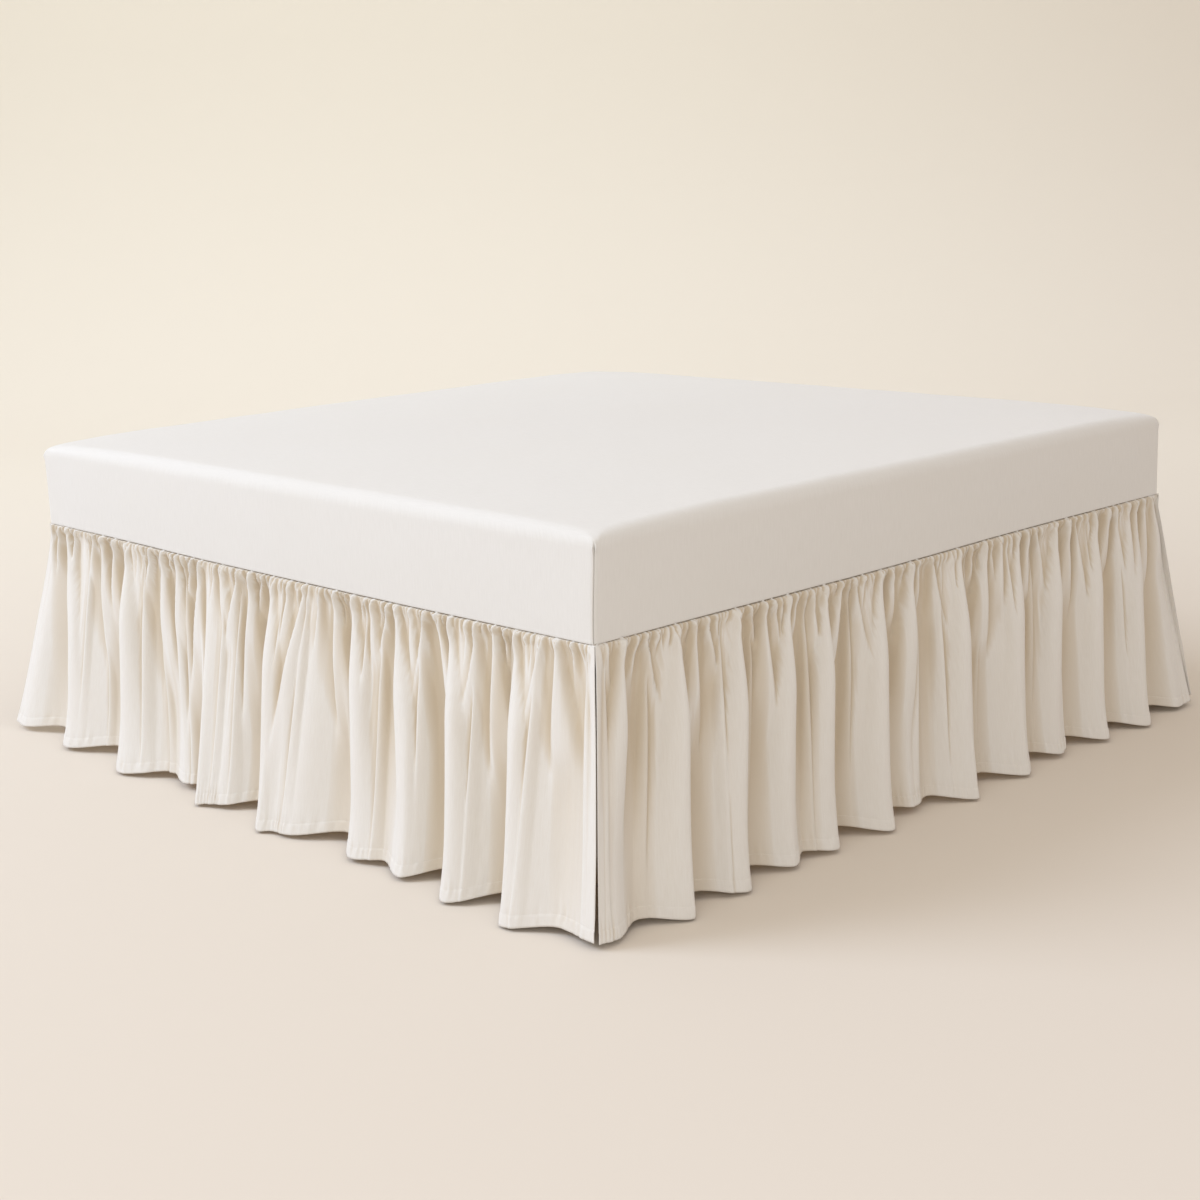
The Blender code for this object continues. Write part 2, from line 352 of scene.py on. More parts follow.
# how far the seam hangs below the mattress, by the distance along each side
seamSags = {
    "left": ((0.0, 0.0075), (0.2, 0.0100), (0.4, 0.0120), (0.6, 0.0132), (1.3, 0.0128),
             (1.5, 0.0105), (1.75, 0.0080), (2.03, 0.0055)),
    "foot": ((0.0, 0.0075), (0.3, 0.0085), (0.75, 0.0098), (1.0, 0.0080), (1.25, 0.0050),
             (1.93, 0.0040)),
    "right": ((0.0, 0.0040), (1.0, 0.0070), (2.03, 0.0050)),
    "back": ((0.0, 0.0055), (1.0, 0.0070), (1.93, 0.0050)),
}
# the open corner: how the two ends of cloth run down beside each other, sideways from the corner's
# own line and apart, in metres
openCorner = {
    "across": (0.730, -0.684),  # the way that counts as sideways, along X and Y
    "out": 0.105,
    "outPower": 0.78,
    "atSeam": 0.0022,
    "sideways": -0.0115,
    "bend": 1.6,
    "apart": ((0.0, 0.0004), (0.08, 0.0036), (0.2, 0.0038), (0.35, 0.0030), (0.7, 0.0036), (1.0, 0.0080)),
    "reach": 0.05,  # how much cloth is drawn in to each end
    "calm": 0.85,  # how much of the creases is gone there
}

# a row for each ridge and valley: where it starts at the seam, where it meets the hem, and how far
# out it is there
leftFolds = (
    (0.000, -0.094, 0.115),
    (0.075, 0.000, 0.112),
    (0.170, 0.112, 0.160),
    (0.270, 0.188, 0.076),
    (0.375, 0.285, 0.157),
    (0.455, 0.382, 0.074),
    (0.535, 0.448, 0.138),
    (0.600, 0.532, 0.114),
    (0.690, 0.612, 0.138),
    (0.790, 0.708, 0.074),
    (0.875, 0.838, 0.142),
    (0.932, 0.872, 0.146),
    (0.990, 0.915, 0.160),
    (1.090, 1.020, 0.072),
    (1.190, 1.120, 0.134),
    (1.240, 1.140, 0.140),
    (1.290, 1.168, 0.156),
    (1.365, 1.236, 0.084),
    (1.450, 1.296, 0.108),
    (1.530, 1.378, 0.088),
    (1.620, 1.512, 0.151),
    (1.740, 1.655, 0.070),
    (1.860, 1.800, 0.137),
    (1.945, 1.925, 0.074),
    (2.000, 2.055, 0.122),
    (2.030, 2.105, 0.114),
)
footFolds = (
    (0.005, -0.108, 0.102),
    (0.060, -0.066, 0.107),
    (0.135, 0.012, 0.080),
    (0.208, 0.104, 0.130),
    (0.290, 0.168, 0.066),
    (0.375, 0.274, 0.122),
    (0.440, 0.340, 0.058),
    (0.515, 0.426, 0.106),
    (0.578, 0.487, 0.078),
    (0.640, 0.552, 0.108),
    (0.715, 0.622, 0.045),
    (0.795, 0.722, 0.119),
    (0.865, 0.800, 0.054),
    (0.925, 0.850, 0.080),
    (0.990, 0.908, 0.062),
    (1.080, 1.002, 0.125),
    (1.175, 1.100, 0.052),
    (1.285, 1.208, 0.118),
    (1.370, 1.306, 0.054),
    (1.445, 1.378, 0.100),
    (1.525, 1.456, 0.048),
    (1.605, 1.550, 0.110),
    (1.685, 1.630, 0.058),
    (1.770, 1.712, 0.121),
    (1.850, 1.818, 0.058),
    (1.885, 1.890, 0.104),
    (1.925, 1.950, 0.098),
)
rightFolds = (
    (0.000, -0.092, 0.036),
    (0.060, -0.022, 0.046),
    (0.150, 0.096, 0.104),
    (0.245, 0.214, 0.040),
    (0.345, 0.318, 0.118),
    (0.440, 0.404, 0.062),
    (0.520, 0.498, 0.116),
    (0.590, 0.566, 0.090),
    (0.680, 0.654, 0.140),
    (0.785, 0.760, 0.070),
    (0.890, 0.884, 0.148),
    (0.985, 0.972, 0.076),
    (1.075, 1.072, 0.138),
    (1.150, 1.146, 0.104),
    (1.235, 1.242, 0.156),
    (1.340, 1.348, 0.072),
    (1.430, 1.446, 0.136),
    (1.510, 1.524, 0.096),
    (1.600, 1.618, 0.152),
    (1.700, 1.716, 0.074),
    (1.790, 1.822, 0.142),
    (1.880, 1.910, 0.084),
    (1.970, 2.030, 0.132),
    (2.030, 2.100, 0.118),
)

# the creases that run down from the seam between the large folds: where each starts, its place where
# it ends, how far down the drop that is, and how far it stands out
leftCreases = (
    (0.014, -0.002, 0.30, 0.010), (0.056, 0.047, 0.22, 0.017), (0.101, 0.046, 0.62, 0.027),
    (0.139, 0.138, 0.36, 0.021), (0.162, 0.151, 0.20, 0.013), (0.184, 0.158, 0.20, 0.013),
    (0.216, 0.118, 1.00, 0.027), (0.241, 0.249, 0.25, 0.017), (0.278, 0.229, 0.78, 0.027),
    (0.329, 0.317, 0.40, 0.021), (0.359, 0.339, 0.20, 0.017), (0.411, 0.291, 1.00, 0.027),
    (0.433, 0.430, 0.16, 0.013), (0.455, 0.332, 0.66, 0.027), (0.493, 0.490, 0.40, 0.021),
    (0.538, 0.501, 0.32, 0.021), (0.586, 0.454, 1.00, 0.027), (0.605, 0.629, 0.35, 0.021),
    (0.627, 0.640, 0.16, 0.013), (0.663, 0.632, 0.34, 0.024), (0.687, 0.704, 0.16, 0.013),
    (0.731, 0.618, 1.00, 0.027), (0.755, 0.783, 0.14, 0.013), (0.793, 0.741, 0.78, 0.027),
    (0.848, 0.843, 0.32, 0.017), (0.897, 0.921, 1.00, 0.024), (0.927, 0.917, 0.14, 0.017),
    (0.954, 0.944, 0.40, 0.021), (0.990, 0.970, 0.14, 0.013), (1.024, 0.921, 1.00, 0.027),
    (1.057, 1.095, 0.30, 0.021), (1.082, 1.097, 0.16, 0.013), (1.111, 1.074, 0.85, 0.027),
    (1.155, 1.179, 0.42, 0.024), (1.182, 1.183, 0.16, 0.013), (1.228, 1.187, 0.32, 0.027),
    (1.252, 1.244, 0.25, 0.021), (1.313, 1.302, 1.00, 0.027), (1.348, 1.381, 0.28, 0.024),
    (1.376, 1.388, 0.15, 0.013), (1.418, 1.366, 0.58, 0.027), (1.439, 1.457, 0.15, 0.017),
    (1.483, 1.418, 0.82, 0.027), (1.538, 1.549, 0.35, 0.021), (1.571, 1.569, 0.20, 0.013),
    (1.596, 1.580, 0.20, 0.013), (1.641, 1.518, 1.00, 0.027), (1.659, 1.651, 0.14, 0.013),
    (1.700, 1.698, 0.62, 0.027), (1.728, 1.756, 0.13, 0.013), (1.765, 1.696, 0.80, 0.027),
    (1.805, 1.812, 0.30, 0.021), (1.833, 1.829, 0.20, 0.013), (1.890, 1.920, 0.35, 0.021),
    (1.943, 1.806, 1.00, 0.027), (1.975, 1.994, 0.30, 0.021), (2.012, 2.016, 0.30, 0.017),
)
footCreases = (
    (0.031, 0.019, 0.25, 0.017), (0.073, -0.032, 0.85, 0.027), (0.110, 0.071, 0.26, 0.017),
    (0.132, 0.134, 0.34, 0.021), (0.167, 0.144, 0.14, 0.017), (0.217, 0.110, 1.00, 0.027),
    (0.240, 0.239, 0.12, 0.013), (0.265, 0.210, 0.68, 0.027), (0.297, 0.309, 0.30, 0.021),
    (0.326, 0.321, 0.15, 0.017), (0.386, 0.280, 1.00, 0.027), (0.419, 0.434, 0.25, 0.021),
    (0.462, 0.428, 0.62, 0.027), (0.489, 0.490, 0.25, 0.021), (0.535, 0.432, 1.00, 0.027),
    (0.560, 0.529, 0.26, 0.021), (0.604, 0.601, 0.32, 0.021), (0.649, 0.558, 1.00, 0.027),
    (0.675, 0.684, 0.16, 0.017), (0.703, 0.619, 0.50, 0.027), (0.744, 0.743, 0.40, 0.021),
    (0.773, 0.747, 0.20, 0.021), (0.796, 0.806, 0.12, 0.013), (0.833, 0.728, 1.00, 0.027),
    (0.871, 0.844, 0.36, 0.024), (0.898, 0.911, 0.15, 0.013), (0.934, 0.866, 0.80, 0.027),
    (0.959, 0.940, 0.30, 0.021), (1.006, 1.015, 0.42, 0.021), (1.039, 1.018, 0.26, 0.017),
    (1.103, 1.008, 1.00, 0.027), (1.147, 1.147, 0.26, 0.021), (1.200, 1.147, 0.66, 0.027),
    (1.217, 1.220, 0.30, 0.021), (1.259, 1.220, 0.36, 0.024), (1.289, 1.303, 0.20, 0.017),
    (1.328, 1.214, 1.00, 0.027), (1.361, 1.334, 0.46, 0.024), (1.398, 1.408, 0.36, 0.021),
    (1.424, 1.413, 0.13, 0.017), (1.481, 1.384, 1.00, 0.027), (1.528, 1.491, 0.60, 0.027),
    (1.556, 1.557, 0.50, 0.021), (1.586, 1.567, 0.14, 0.021), (1.608, 1.617, 0.20, 0.017),
    (1.645, 1.556, 1.00, 0.027), (1.704, 1.647, 0.43, 0.027), (1.728, 1.718, 0.50, 0.021),
    (1.754, 1.729, 0.12, 0.017), (1.791, 1.728, 0.55, 0.021), (1.827, 1.718, 1.00, 0.027),
    (1.861, 1.819, 0.60, 0.027), (1.894, 1.912, 0.42, 0.021),
)

# a crease is a rounded roll that widens as it runs down and then sinks into the large folds: its
# reach on each side of the crest for its height, how much of it there is at the seam, where it is full
creaseForm = {
    "tall": 1.15,
    "fullness": 0.8,
    "near": 1.15,
    "far": 0.45,
    "atSeam": 0.28,
    "full": 0.38,
    "start": 0.02,
    "lean": 0.9,
    "sink": 0.12,
    "spread": 0.75,
}
gatherForm = {
    "tall": 1.0,
    "fullness": 1.0,
    "near": 1.0,
    "far": 0.7,
    "atSeam": 0.7,
    "full": 0.03,
    "start": 0.012,
    "lean": 0.8,
    "sink": 0.3,
    "spread": 0.5,
}
rolls = {"atStart": 0.75, "meeting": 6}  # a roll's height where it starts, and how sharply two meet
# the gathers under the seam: how far apart and how uneven, height, end and drift to the next crease
gathers = {"spacing": 0.0118, "uneven": 0.5, "stand": (0.0045, 0.008), "end": (0.035, 0.13), "drift": 0.55}
# low soft folds that run on to the hem between the creases
longFolds = {"spacing": 0.085, "uneven": 0.5, "stand": (0.007, 0.0125), "end": (1.1, 1.7), "drift": 0.0}
# creases of a panel that has no list of its own
scattered = {"spacing": 0.046, "uneven": 0.4, "stand": (0.013, 0.026), "end": (0.2, 0.8), "drift": 0.7}
clearEnds = (0.3, 0.2)  # how far all of these keep from a panel's two ends, in spacings
# ripples laid over the cloth: how many, turns per metre across and down it, height
waveForm = (10, (3, 13), (-3, 3), 0.0006)
crinkleForm = (12, (30, 110), (-25, 25), 0.00022)
puckerForm = (14, (30, 95), (-12, 12), 0.00034)
# the painted shade in the folds: how many columns away the cloth beside it is looked for, the least run
# that a slope is taken over, how much one side counts alone, and how much of the painted shade is gone at
# the hem
paintedShadeTone = {"steps": (1, 2, 3, 5, 8, 13, 21, 32), "leastRun": 0.0008, "oneSided": 0.3, "fade": 0.4}


def seamSag(side, place):
    places, sags = np.array(seamSags[side]).T
    return np.interp(place, places, sags)


def openEnd(side, drop):
    # along and out of a cut end at the open corner
    out = openCorner["out"] * drop ** openCorner["outPower"]
    sideways = openCorner["atSeam"] + openCorner["sideways"] * drop ** openCorner["bend"]
    apart = np.interp(drop, *np.array(openCorner["apart"]).T) / 2
    acrossX, acrossY = openCorner["across"]
    if side == "left":
        sideways -= apart
        return -out + acrossY * sideways, out - acrossX * sideways
    sideways += apart
    return -out + acrossX * sideways, out - acrossY * sideways


def ridgePlaces(folds):
    # the table's rows that are ridges
    places = []
    for before, row, after in zip(folds, folds[1:], folds[2:]):
        if row[2] > before[2] and row[2] >= after[2]:
            places.append(row)
    return places


def scatterCreases(chance, kind, first, last, drawnTo):
    # rows like the tables', each drifting towards the nearest start in drawnTo
    rows = []
    place = first + kind["spacing"] * clearEnds[0]
    while place < last - kind["spacing"] * clearEnds[1]:
        target = min(drawnTo, key=lambda spot: abs(spot[0] - place))
        end = chance.uniform(*kind["end"])
        goal = target[0] + (target[1] - target[0]) * end
        low = place + (goal - place) * kind["drift"]
        rows.append((place, low, end, chance.uniform(*kind["stand"])))
        place += kind["spacing"] * (1 + kind["uneven"] * (chance.random() * 2 - 1))
    return rows


def creaseHeight(rows, form, along, drop):
    # where rolls meet, the higher one carries on
    total = np.zeros_like(along)
    for seam, low, end, stand in rows:
        stand *= form["tall"]
        wide = stand * (1 + form["spread"])
        near = (drop < end) & (along > min(seam, low) - wide * form["near"])
        near &= along < max(seam, low) + wide * form["far"]
        if not near.any():
            continue
        share = drop[near] / end
        size = form["atSeam"] + (1 - form["atSeam"]) * smooth(drop[near] / form["full"])
        across = along[near] - seam - (low - seam) * share ** form["lean"]
        reach = stand * size * (1 + form["spread"] * smooth(share))
        turn = np.where(across < 0, across / (reach * form["near"]), across / (reach * form["far"]))
        profile = np.cos(np.pi / 2 * np.clip(turn, -1, 1)) ** form["fullness"]
        starting = rolls["atStart"] + (1 - rolls["atStart"]) * smooth(drop[near] / form["start"])
        sinking = 1 - smooth((share - form["sink"]) / (1 - form["sink"]))
        total[near] += (stand * size * profile * starting * sinking) ** rolls["meeting"]
    return total ** (1 / rolls["meeting"])


def rippleSet(chance, count, across, along, size):
    # ripples for rippleHeight: angle per metre across and down the cloth, where each starts, height
    return [
        (chance.uniform(*across) * 2 * math.pi, chance.uniform(*along) * 2 * math.pi,
         chance.uniform(0, 2 * math.pi), size * chance.uniform(0.5, 1.0))
        for _ in range(count)
    ]


def rippleHeight(ripples, across, down):
    return sum(size * np.sin(across * x + down * z + start) for x, z, start, size in ripples)


def hemBelow(folds, place):
    seam, hem, reach = np.array(folds).T
    row = np.clip(np.searchsorted(seam, place) - 1, 0, len(seam) - 2)
    share = np.clip((place - seam[row]) / (seam[row + 1] - seam[row]), 0, 1)
    hemPlace = hem[row] + (hem[row + 1] - hem[row]) * share
    return hemPlace, reach[row] + (reach[row + 1] - reach[row]) * smooth(share)


def makePanel(side, folds, creases, corner, alongSide, outwards, seed):
    # everything that places a point of this panel's cloth
    chance = random.Random(seed)
    first, last = folds[0][0], folds[-1][0]
    if not creases:
        creases = scatterCreases(chance, scattered, first, last, ridgePlaces(folds))
    creases = list(creases)
    for seam, _, end, stand in scatterCreases(chance, longFolds, first, last, creases):
        lean = hemBelow(folds, seam)[0] - seam  # these follow the cloth's own lean
        creases.append((seam, seam + lean * end ** skirt["leanPower"], end, stand))
    return {
        "name": side + "Panel",
        "side": side,
        "folds": folds,
        "first": first,
        "last": last,
        "corner": np.array(corner, float),
        "alongSide": np.array(alongSide, float),
        "outwards": np.array(outwards, float),
        "creases": creases,
        "gathers": scatterCreases(chance, gathers, first, last, creases),
        "waves": rippleSet(chance, *waveForm),
        "crinkles": rippleSet(chance, *crinkleForm),
        "puckers": rippleSet(chance, *puckerForm),
    }


def largeFolds(folds, place, drop):
    # along, out and how much of a ridge it is, from the large folds alone
    hemPlace, reach = hemBelow(folds, place)
    reaches = np.array(folds)[:, 2]
    least, most = reaches.min(), reaches.max()
    standing = (reach - least) / (most - least)
    opening = smooth((drop - skirt["valleyOpens"]) / (1 - skirt["valleyOpens"]))
    pinch = skirt["valleyPinch"] + (1 - skirt["valleyPinch"]) * opening
    opened = least + (most - least) * standing ** pinch
    along = place + (hemPlace - place) * drop ** skirt["leanPower"]
    power = skirt["valleyPower"] + (skirt["ridgePower"] - skirt["valleyPower"]) * standing
    return along, opened * drop ** power, standing


def clothPoint(panel, place, drop, lift=0.0):
    # place is where the thread meets the seam, drop is 0 at the seam and 1 at the hem
    along, out, standing = largeFolds(panel["folds"], place, drop)
    top = seamHeight - skirt["gap"] - seamSag(panel["side"], place)
    hem = skirt["hemLow"] + skirt["hemLift"] * (1 - standing)
    height = top + (hem - top) * drop
    down = drop * (top - skirt["hemLow"])

    raised = creaseHeight(panel["creases"], creaseForm, along, drop)
    falling = (1 - smooth(raised / skirt["hollowRim"])) * (1 - standing)
    hollow = skirt["hollow"] * falling * smooth(drop / skirt["hollowStart"])
    hollow *= 1 - skirt["hollowFade"] * drop
    raised += creaseHeight(panel["gathers"], gatherForm, along, drop) - hollow
    raised += rippleHeight(panel["waves"], place, down) * (skirt["wavesAtSeam"] + drop)
    raised += rippleHeight(panel["crinkles"], place, down) * np.exp(-drop / skirt["crinkleReach"])
    if panel["side"] != "right":
        drawn = 1 - smooth((place - panel["first"]) / openCorner["reach"])
        endAlong, endOut = openEnd(panel["side"], drop)
        firstAlong, firstOut, _ = largeFolds(panel["folds"], np.full_like(place, panel["first"]), drop)
        along += (endAlong - firstAlong) * drawn
        out += (endOut - firstOut) * drawn
        raised *= 1 - openCorner["calm"] * drawn
    out += raised

    # the turned-up hem and the turned-in sides are two layers thicker, with a dip at their stitches
    aboveHem = (1 - drop) * (top - skirt["hemLow"])
    fromSide = np.minimum(place - panel["first"], panel["last"] - place)
    for inside, band in ((aboveHem, skirt["hemBand"]), (fromSide, skirt["sideBand"])):
        out += skirt["bandThickness"] * smooth((band - inside) / skirt["bandEdge"] + 0.5)
        out -= skirt["stitchDip"] * np.exp(-(((inside - band) / skirt["stitchWidth"]) ** 2))
    fromPuckers = np.abs(aboveHem - skirt["hemBand"] * skirt["puckerPlace"])
    nearHem = smooth(1 - fromPuckers / skirt["puckerReach"])
    out += rippleHeight(panel["puckers"], place, down) * nearHem
    out -= skirt["tuck"] * (1 - smooth((down - skirt["tuckDrop"]) / skirt["tuckBend"]))
    out += lift

    point = panel["corner"] + along[..., None] * panel["alongSide"]
    point = point + out[..., None] * panel["outwards"]
    point[..., 2] = height
    return point


def rowDrops():
    # rows lie closer in the tuck, among the gathers and beside the hem's stitches
    hemEdge = 1 - skirt["hemBand"] / seamHeight
    gathered, creased, besideHem = 0.05, 0.16, 0.012
    tuck = [0, 0.0024, 0.0046, 0.0064, 0.0084, 0.011]
    top = np.concatenate([tuck, np.linspace(0.015, gathered, 8), np.linspace(gathered, creased, 9)[1:]])
    middle = np.linspace(creased, hemEdge - besideHem, 23)[1:]
    dip = hemEdge + np.array([-0.007, -0.004, -0.0015, 0.001, 0.0035, 0.006])
    low = np.linspace(hemEdge + besideHem, 1, 5)
    return np.concatenate([top, middle, dip, low])


def sideColumns(panel):
    count = round((panel["last"] - panel["first"]) / skirt["columnWidth"])
    return np.linspace(panel["first"], panel["last"], count + 1)


def flatPlaces(points):
    # how far each point is along and down the cloth itself, in metres
    steps = np.linalg.norm(np.diff(points, axis=1), axis=2)
    across = np.concatenate([np.zeros((len(points), 1)), np.cumsum(steps, axis=1)], axis=1)
    across = np.broadcast_to(across.mean(axis=0), across.shape)
    down = np.linalg.norm(np.diff(points, axis=0), axis=2).mean(axis=1)
    down = np.concatenate([[0], np.cumsum(down)])
    return np.stack([across, np.broadcast_to(-down[:, None], across.shape)], axis=2)


def paintedFoldShade(points, panel):
    # how much each point is shut in between the folds beside it, seen along its own row; this mask lays
    # painted shade into the skirt's colour
    along, out = points @ panel["alongSide"], points @ panel["outwards"]
    count = along.shape[1]
    sides = []
    for way in (1, -1):
        steepest = np.zeros_like(out)
        for step in paintedShadeTone["steps"]:
            beside = np.clip(np.arange(count) + way * step, 0, count - 1)
            run = np.maximum(np.abs(along[:, beside] - along), paintedShadeTone["leastRun"])
            steepest = np.maximum(steepest, (out[:, beside] - out) / run)
        sides.append(steepest / np.sqrt(1 + steepest ** 2))
    alone = paintedShadeTone["oneSided"] * (sides[0] + sides[1]) / 2
    return alone + (1 - paintedShadeTone["oneSided"]) * np.sqrt(sides[0] * sides[1])


def hangPanel(panel):
    place, drop = np.meshgrid(sideColumns(panel), rowDrops())
    points = clothPoint(panel, place, drop)
    flat = flatPlaces(points)
    facing = np.cross([0, 0, -1], panel["alongSide"])
    if np.dot(facing, panel["outwards"]) < 0:
        points, flat = points[:, ::-1], flat[:, ::-1]
    mesh = gridMesh(panel["name"], points, flat)
    # painted shade: the mask goes on the mesh, where the skirt's colour darkens the folds by it
    folded = paintedFoldShade(points, panel) * (1 - paintedShadeTone["fade"] * drop)
    tone = mesh.attributes.new("paintedFoldShade", "FLOAT", "POINT")
    tone.data.foreach_set("value", folded.ravel().astype(np.float32))
    piece = addPiece(panel["name"], mesh, skirtCloth)
    thicken(piece, skirt["thickness"])
    return piece


leftCorner = (coverLow.x, coverLow.y, 0.0)
rightCorner = (coverHigh.x, coverLow.y, 0.0)
panels = [
    makePanel("left", leftFolds, leftCreases, leftCorner, (0, 1, 0), (-1, 0, 0), 11),
    makePanel("foot", footFolds, footCreases, leftCorner, (1, 0, 0), (0, -1, 0), 29),
    makePanel("right", rightFolds, (), rightCorner, (0, 1, 0), (1, 0, 0), 47),
]
panelPieces = [hangPanel(panel) for panel in panels]
for piece in panelPieces:
    print(piece.name, "hung,", len(piece.data.vertices), "points")


# the stitches along the hems, and the dark gathering thread in the tuck under the seam, whose colour is
# painted shade for the seam's shadow line
stitchSizes = {
    "hem": {"Pitch": 0.0036, "Length": 0.0026, "Thick": 0.00055},
    "seam": {"Pitch": 0.0038, "Length": 0.0032, "Thick": 0.0009},
}
stitchPlaces = {"lift": 0.0001, "sideEnd": 0.004, "sidePoints": 240, "seamDrop": 0.0042}
bead = {"Segments": 6, "Rings": 4, "Radius": 0.5}


def stitchTree(name, material):
    # beads of thread spaced along the edges of a mesh
    tree = bpy.data.node_groups.new(name, "GeometryNodeTree")
    sockets = [("Geometry", "INPUT", "NodeSocketGeometry"), ("Geometry", "OUTPUT", "NodeSocketGeometry")]
    sockets += [(size, "INPUT", "NodeSocketFloat") for size in ("Pitch", "Length", "Thick")]
    for socket, way, kind in sockets:
        tree.interface.new_socket(name=socket, in_out=way, socket_type=kind)
    start = tree.nodes.new("NodeGroupInput").outputs
    line = addNode(tree, "GeometryNodeMeshToCurve", {"Mesh": start["Geometry"]})
    spaced = tree.nodes.new("GeometryNodeResampleCurve")
    spaced.mode = "LENGTH"
    fillInputs(tree, spaced, {"Curve": line.outputs["Curve"], "Length": start["Pitch"]})
    turn = tree.nodes.new("FunctionNodeAlignRotationToVector")
    turn.axis = "X"
    tangent = tree.nodes.new("GeometryNodeInputTangent").outputs["Tangent"]
    fillInputs(tree, turn, {"Vector": tangent})
    sizes = {"X": start["Length"], "Y": start["Thick"], "Z": start["Thick"]}
    placed = addNode(tree, "GeometryNodeInstanceOnPoints", {
        "Points": spaced.outputs["Curve"],
        "Instance": addNode(tree, "GeometryNodeMeshUVSphere", bead).outputs["Mesh"],
        "Rotation": turn.outputs["Rotation"],
        "Scale": addNode(tree, "ShaderNodeCombineXYZ", sizes).outputs["Vector"],
    })
    thread = placed.outputs["Instances"]
    for kind in ("GeometryNodeRealizeInstances", "GeometryNodeSetShadeSmooth"):
        thread = addNode(tree, kind, {"Geometry": thread}).outputs["Geometry"]
    coloured = addNode(tree, "GeometryNodeSetMaterial", {"Geometry": thread, "Material": material})
    addNode(tree, "NodeGroupOutput", {"Geometry": coloured.outputs["Geometry"]})
    return tree


hemSewing = stitchTree("hemSewing", threadCloth)
seamShadeSewing = stitchTree("seamShadeSewing", seamShadeThread)


def sewRows(name, rows, tree, sizes):
    # rows are arrays of points that the stitches run along
    mesh = bpy.data.meshes.new(name)
    edges, count = [], 0
    for row in rows:
        edges += [(count + step, count + step + 1) for step in range(len(row) - 1)]
        count += len(row)
    mesh.from_pydata(np.concatenate(rows).tolist(), edges, [])
    piece = addPiece(name, mesh, threadCloth)
    sewing = piece.modifiers.new("sewing", "NODES")
    sewing.node_group = tree
    for item in tree.interface.items_tree:
        if item.in_out == "INPUT" and item.name in sizes:
            sewing[item.identifier] = sizes[item.name]
    keepModifiers(piece)
    return piece


def panelStitches(panel):
    hemEdge = 1 - skirt["hemBand"] / (seamHeight - skirt["gap"] - skirt["hemLow"])
    places = sideColumns(panel)
    rows = [clothPoint(panel, places, np.full_like(places, hemEdge), stitchPlaces["lift"])]
    drops = np.linspace(stitchPlaces["sideEnd"], 1 - stitchPlaces["sideEnd"], stitchPlaces["sidePoints"])
    for place in (panel["first"] + skirt["sideBand"], panel["last"] - skirt["sideBand"]):
        rows.append(clothPoint(panel, np.full_like(drops, place), drops, stitchPlaces["lift"]))
    return sewRows(panel["name"] + "Stitches", rows, hemSewing, stitchSizes["hem"])


def seamShadeStitches(panel):
    # the gathering stitches, in the tuck just under the cover's edge, coloured dark as painted shade for
    # the shadow line under it
    places = sideColumns(panel)
    row = clothPoint(panel, places, np.full_like(places, stitchPlaces["seamDrop"]))
    out = (row - panel["corner"]) @ panel["outwards"]
    row += panel["outwards"] * (skirt["tuckedThread"] - out)[:, None]
    return sewRows(panel["name"] + "SeamShadeStitches", [row], seamShadeSewing, stitchSizes["seam"])


stitchPieces = [panelStitches(panel) for panel in panels]
seamPieces = [seamShadeStitches(panel) for panel in panels]
print("hems sewn,", sum(len(piece.data.polygons) for piece in stitchPieces), "faces of thread")


# the fitted cover
cover = {
    "thickness": 0.0016,
    "top": coverHigh.z,
    "edgeRadius": 0.034,
    "cornerRadius": 0.011,
    "cornerGrowth": 0.8,  # what a corner's radius gains for each metre inwards, up to the top's edge
    "crown": 0.013,
    "crownPower": 2.4,
    "cornerSag": 0.012,
    "sagPower": 7,
    "sideSag": 0.15,  # how much of the corners' sag the sides have
    "topWaves": ((0.0022, 3.1), (0.0008, 11)),  # height and closeness
    "sideWaves": ((0.0012, 4.3), (0.0005, 15)),
    "bandSwell": 0.0018,
    "swellTop": 0.85,
    "swellReach": 0.12,
    "cornerLean": 0.0075,  # how far the foot's left corner seam leans at its top
    "leanReach": 0.12,
    "sagTop": 0.8,  # how far up the sides the lower edge's sag is felt
    "sidePoints": 64,
    "cornerPoints": 21,
    "cornerCloseness": 1.7,
    "evenness": 0.4,  # how evenly the points of a side are spaced
    "hem": (0.0018, 0.0012),  # how far its lowest two rows hang below the seam
    "hemIn": 0.0004,
    "sideStart": 0.002,
    "roundest": 0.9,  # the largest radius of a level's corners, for half its width
    "topFacing": 0.7,
    "sideRows": 30,
    "edgeRows": 14,
    "topRows": 44,
    "middleGap": 0.02,
}
# the corner seams: a narrow dip between two lips, with a small mouth and puckers at the top
cornerSeam = {
    "top": 0.714,
    "dip": 0.003,
    "width": 0.0007,
    "lip": 0.0006,
    "lipPlace": 0.0024,
    "lipWidth": 0.0015,
    "reach": 0.05,
    "highest": 0.75,
    "fade": 0.0025,
    "mouthDown": 0.007,
    "mouthSize": 0.006,
    "mouthDip": 0.003,
    "mouthWidth": 0.0008,
    "mouthLip": 0.0022,
    "mouthLipPlace": 0.0014,
    "pucker": 0.0007,
    "puckerTurns": (420, 160),
    "puckerReach": (0.018, 0.02),
}


def coverLevels():
    # (inset, height, how much it belongs to the top) from the lower edge up and in to the middle
    lowest, second = cover["hem"]
    levels = [(cover["hemIn"], seamHeight - lowest, 0.0), (0.0, seamHeight - second, 0.0)]
    straightTop = cover["top"] - cover["edgeRadius"]
    for height in np.linspace(seamHeight + cover["sideStart"], straightTop, cover["sideRows"]):
        levels.append((0.0, height, 0.0))
    for turn in np.linspace(0, math.pi / 2, cover["edgeRows"])[1:]:
        inset = cover["edgeRadius"] * (1 - math.cos(turn))
        height = straightTop + cover["edgeRadius"] * math.sin(turn)
        levels.append((inset, height, math.sin(turn) ** 2))
    innermost = bedWidth / 2 - cover["middleGap"]
    for inset in np.linspace(cover["edgeRadius"], innermost, cover["topRows"])[1:]:
        levels.append((inset, cover["top"], 1.0))
    return levels


